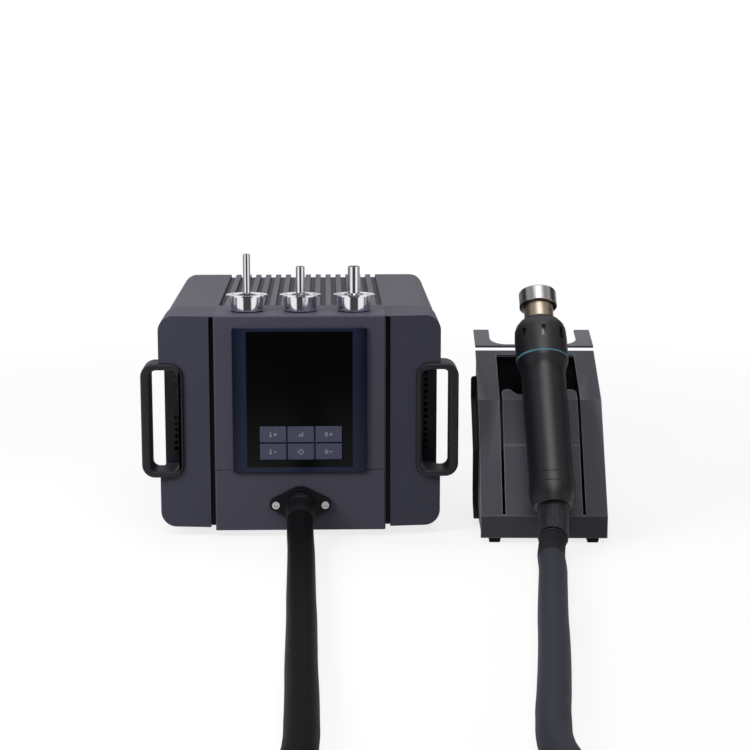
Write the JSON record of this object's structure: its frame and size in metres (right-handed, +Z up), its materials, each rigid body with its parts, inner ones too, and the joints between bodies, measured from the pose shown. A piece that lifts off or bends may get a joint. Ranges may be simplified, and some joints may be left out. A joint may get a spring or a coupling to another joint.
{
  "type": "hot air rework station",
  "caption": "Bench hot air station: finned blower unit with display and keys, a hot air handpiece on a folded stand, its air hose and spare nozzles standing on the unit.",
  "frame": {"origin": "middle of the unit, the handpiece and the stand on the bench, without the air hose", "axes": "+Z up, -Y to the front with the display, +X to the right with the stand"},
  "size_m": [0.3977, 1.0278, 0.237],
  "materials": {
    "front_paint": "fine satin texture",
    "side_paint": "fine satin texture",
    "cover_paint": "fine satin texture",
    "base_paint": "matte black",
    "stand_paint": "fine satin texture",
    "black_plastic": "moulded matte black",
    "display_glass": "dark printed glass",
    "key_plastic": "smooth grey blue",
    "foot_rubber": "matte",
    "hose_rubber": "satin black",
    "grip_plastic": "satin black",
    "accent_plastic": "satin blue green",
    "polished_steel": "polished stainless steel",
    "socket_steel": "turned stainless steel",
    "heater_steel": "heat-tinted stainless steel",
    "screw_steel": "zinc plated",
    "ceramic": "unglazed off-white ceramic",
    "blower_metal": "plain grey",
    "impeller_metal": "cast, as machined",
    "board": "solder-masked board"
  },
  "bodies": {
    "root": {"base_plate": "base_paint", "left_side_cover": "cover_paint", "right_side_cover": "cover_paint", "fin_cover": "cover_paint", "left_front_cover": "side_paint", "right_front_cover": "side_paint", "front_frame": "front_paint", "lower_front_panel": "front_paint", "rear_panel": "side_paint", "slot_trims": "black_plastic", "display_glass": "display_glass", "display_module": "black_plastic", "key_board": "board", "left_handle": "black_plastic", "right_handle": "black_plastic", "left_vent_grille": "black_plastic", "right_vent_grille": "black_plastic", "station_feet": "foot_rubber", "hose_gland": "black_plastic", "gland_screws": "screw_steel", "hose_boot": "hose_rubber", "mains_inlet": "black_plastic", "rocker_bezel": "black_plastic", "blower_housing": "blower_metal", "blower_motor": "blower_metal", "air_duct": "black_plastic", "power_board": "board", "control_board": "board", "base_screws": "screw_steel", "rear_screws": "screw_steel", "stand_shell": "stand_paint", "stand_base": "base_paint", "holder_fork": "cover_paint", "stand_feet": "foot_rubber", "stand_screws": "screw_steel", "sleep_magnet": "screw_steel", "air_hose": "hose_rubber"},
    "handpiece": {"grip_barrel": "grip_plastic", "tail_ring": "grip_plastic", "tail_cap": "grip_plastic", "hose_sleeve": "hose_rubber", "head_shroud": "grip_plastic", "accent_ring": "accent_plastic", "insulation_sleeve": "ceramic", "heater_tube": "heater_steel", "nozzle_socket": "socket_steel", "heater_core": "ceramic"},
    "power_rocker": {"power_rocker": "black_plastic"},
    "blower_wheel": {"blower_impeller": "impeller_metal"},
    "temp_up_key": {"temp_up_key": "key_plastic"},
    "channel_key": {"channel_key": "key_plastic"},
    "air_up_key": {"air_up_key": "key_plastic"},
    "temp_down_key": {"temp_down_key": "key_plastic"},
    "power_key": {"power_key": "key_plastic"},
    "air_down_key": {"air_down_key": "key_plastic"},
    "nozzle_small": {"nozzle_small": "polished_steel"},
    "nozzle_medium": {"nozzle_medium": "polished_steel"},
    "nozzle_large": {"nozzle_large": "polished_steel"}
  },
  "joints": [
    {"name": "temp_up_key_press", "type": "slide", "parent": "root", "child": "temp_up_key", "axis": [0, 1, 0], "range_m": [0, 0.0008], "stiffness_N_per_m": 400, "springref_m": -0.0008},
    {"name": "channel_key_press", "type": "slide", "parent": "root", "child": "channel_key", "axis": [0, 1, 0], "range_m": [0, 0.0008], "stiffness_N_per_m": 400, "springref_m": -0.0008},
    {"name": "air_up_key_press", "type": "slide", "parent": "root", "child": "air_up_key", "axis": [0, 1, 0], "range_m": [0, 0.0008], "stiffness_N_per_m": 400, "springref_m": -0.0008},
    {"name": "temp_down_key_press", "type": "slide", "parent": "root", "child": "temp_down_key", "axis": [0, 1, 0], "range_m": [0, 0.0008], "stiffness_N_per_m": 400, "springref_m": -0.0008},
    {"name": "power_key_press", "type": "slide", "parent": "root", "child": "power_key", "axis": [0, 1, 0], "range_m": [0, 0.0008], "stiffness_N_per_m": 400, "springref_m": -0.0008},
    {"name": "air_down_key_press", "type": "slide", "parent": "root", "child": "air_down_key", "axis": [0, 1, 0], "range_m": [0, 0.0008], "stiffness_N_per_m": 400, "springref_m": -0.0008},
    {"name": "power_rocker_tilt", "type": "hinge", "parent": "root", "child": "power_rocker", "pos_m": [-0.003, 0.1775, 0.084], "axis": [1, 0, 0], "range_deg": [0, 16]},
    {"name": "blower_spin", "type": "hinge", "parent": "root", "child": "blower_wheel", "pos_m": [-0.101, 0.094, 0.03], "axis": [0, 0, 1], "continuous": true},
    {"name": "nozzle_small_lift", "type": "slide", "parent": "root", "child": "nozzle_small", "axis": [0, 0, 1], "range_m": [0, 0.06]},
    {"name": "nozzle_medium_lift", "type": "slide", "parent": "root", "child": "nozzle_medium", "axis": [0, 0, 1], "range_m": [0, 0.06]},
    {"name": "nozzle_large_lift", "type": "slide", "parent": "root", "child": "nozzle_large", "axis": [0, 0, 1], "range_m": [0, 0.06]},
    {"name": "handpiece_lift", "type": "slide", "parent": "root", "child": "handpiece", "axis": [0, 0, 1], "range_m": [0, 0.08]}
  ]
}
